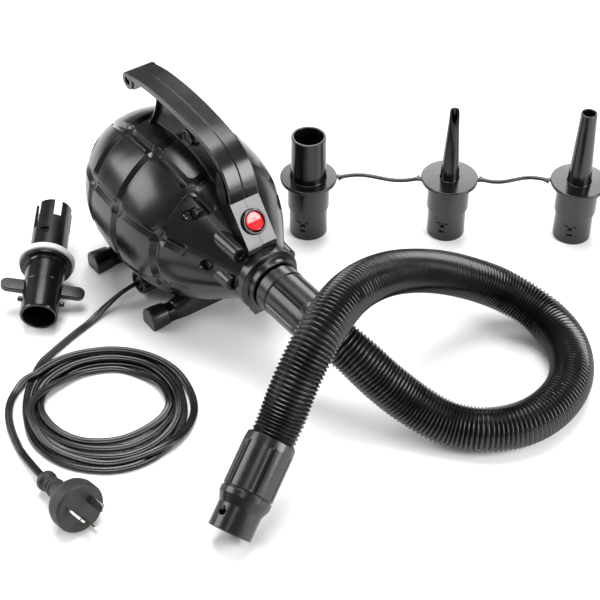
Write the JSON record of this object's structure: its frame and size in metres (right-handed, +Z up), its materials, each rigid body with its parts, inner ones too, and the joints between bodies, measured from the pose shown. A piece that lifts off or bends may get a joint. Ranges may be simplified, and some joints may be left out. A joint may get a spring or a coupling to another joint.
{
  "type": "electric air mattress pump",
  "caption": "Mains air pump with an egg-shaped ribbed housing, carrying handle, rocker switch, corrugated hose, coiled lead with plug, valve adapter and strapped nozzles.",
  "frame": {"origin": "centre of the front foot's underside, on the floor", "axes": "+X out of the air outlet, +Y the pump's left, +Z up; the motor axis is 74 mm above the floor"},
  "size_m": [0.4165, 0.5253, 0.1735],
  "materials": {
    "housing": "moulded black ABS, high gloss",
    "trim": "moulded black plastic, satin",
    "rubber": "soft black rubber, matt",
    "hose": "blow-moulded black plastic, glossy",
    "cord": "smooth black PVC",
    "switch_red": "translucent red plastic, polished",
    "gasket": "white closed-cell foam rubber",
    "steel": "bright zinc-plated steel",
    "iron": "laminated and cast iron, dull grey",
    "copper": "enamelled copper wire",
    "carbon": "matt carbon",
    "brass": "plain brass, slightly dulled",
    "nylon": "natural nylon"
  },
  "bodies": {
    "pump": {"brush_holder_left": "brass", "brush_holder_right": "brass", "carbon_brush_left": "carbon", "carbon_brush_right": "carbon", "cord_coil": "cord", "cord_lead": "cord", "cord_strain_relief": "rubber", "cord_tail": "cord", "fan_baffle": "trim", "field_coil_lower": "copper", "field_coil_upper": "copper", "front_bearing": "steel", "front_bracket": "iron", "front_foot_bar": "housing", "front_foot_cap_left": "rubber", "front_foot_cap_right": "rubber", "hose": "hose", "hose_cuff_free_end": "hose", "hose_spigot_free_end": "hose", "housing_left": "housing", "housing_right": "housing", "housing_screw_1": "steel", "housing_screw_2": "steel", "housing_screw_3": "steel", "housing_screw_4": "steel", "housing_screw_5": "steel", "housing_screw_6": "steel", "intake_grille": "trim", "motor_mount_front": "rubber", "motor_mount_rear": "rubber", "nozzle_flute": "trim", "nozzle_narrow": "trim", "nozzle_strap_1": "trim", "nozzle_strap_2": "trim", "nozzle_wide": "trim", "outlet_collar": "housing", "outlet_seal": "rubber", "plug_body": "cord", "plug_pin_active": "brass", "plug_pin_earth": "brass", "plug_pin_neutral": "brass", "rear_bearing": "steel", "rear_bracket": "iron", "rear_foot_bar": "housing", "rear_foot_cap_left": "rubber", "rear_foot_cap_right": "rubber", "stator_core": "iron", "switch_bezel": "trim", "switch_body": "trim", "switch_terminal_1": "brass", "switch_terminal_2": "brass", "valve_adapter": "trim", "valve_gasket": "gasket"},
    "rotor": {"motor_shaft": "steel", "armature": "iron", "commutator": "brass", "impeller": "nylon", "impeller_nut": "steel"},
    "rocker": {"switch_rocker": "switch_red"},
    "hose_cuff": {"hose_cuff_pump_end": "hose"}
  },
  "joints": [
    {"name": "rotor_spin", "type": "hinge", "parent": "pump", "child": "rotor", "pos_m": [-0.034, 0, 0.074], "axis": [1, 0, 0], "continuous": true},
    {"name": "switch_rock", "type": "hinge", "parent": "pump", "child": "rocker", "pos_m": [0.06225, 0, 0.11625], "axis": [0, 1, 0], "range_deg": [0, 18]},
    {"name": "cuff_twist", "type": "hinge", "parent": "pump", "child": "hose_cuff", "pos_m": [0.09, 0, 0.074], "axis": [1, 0, 0], "range_deg": [0, 25]}
  ]
}
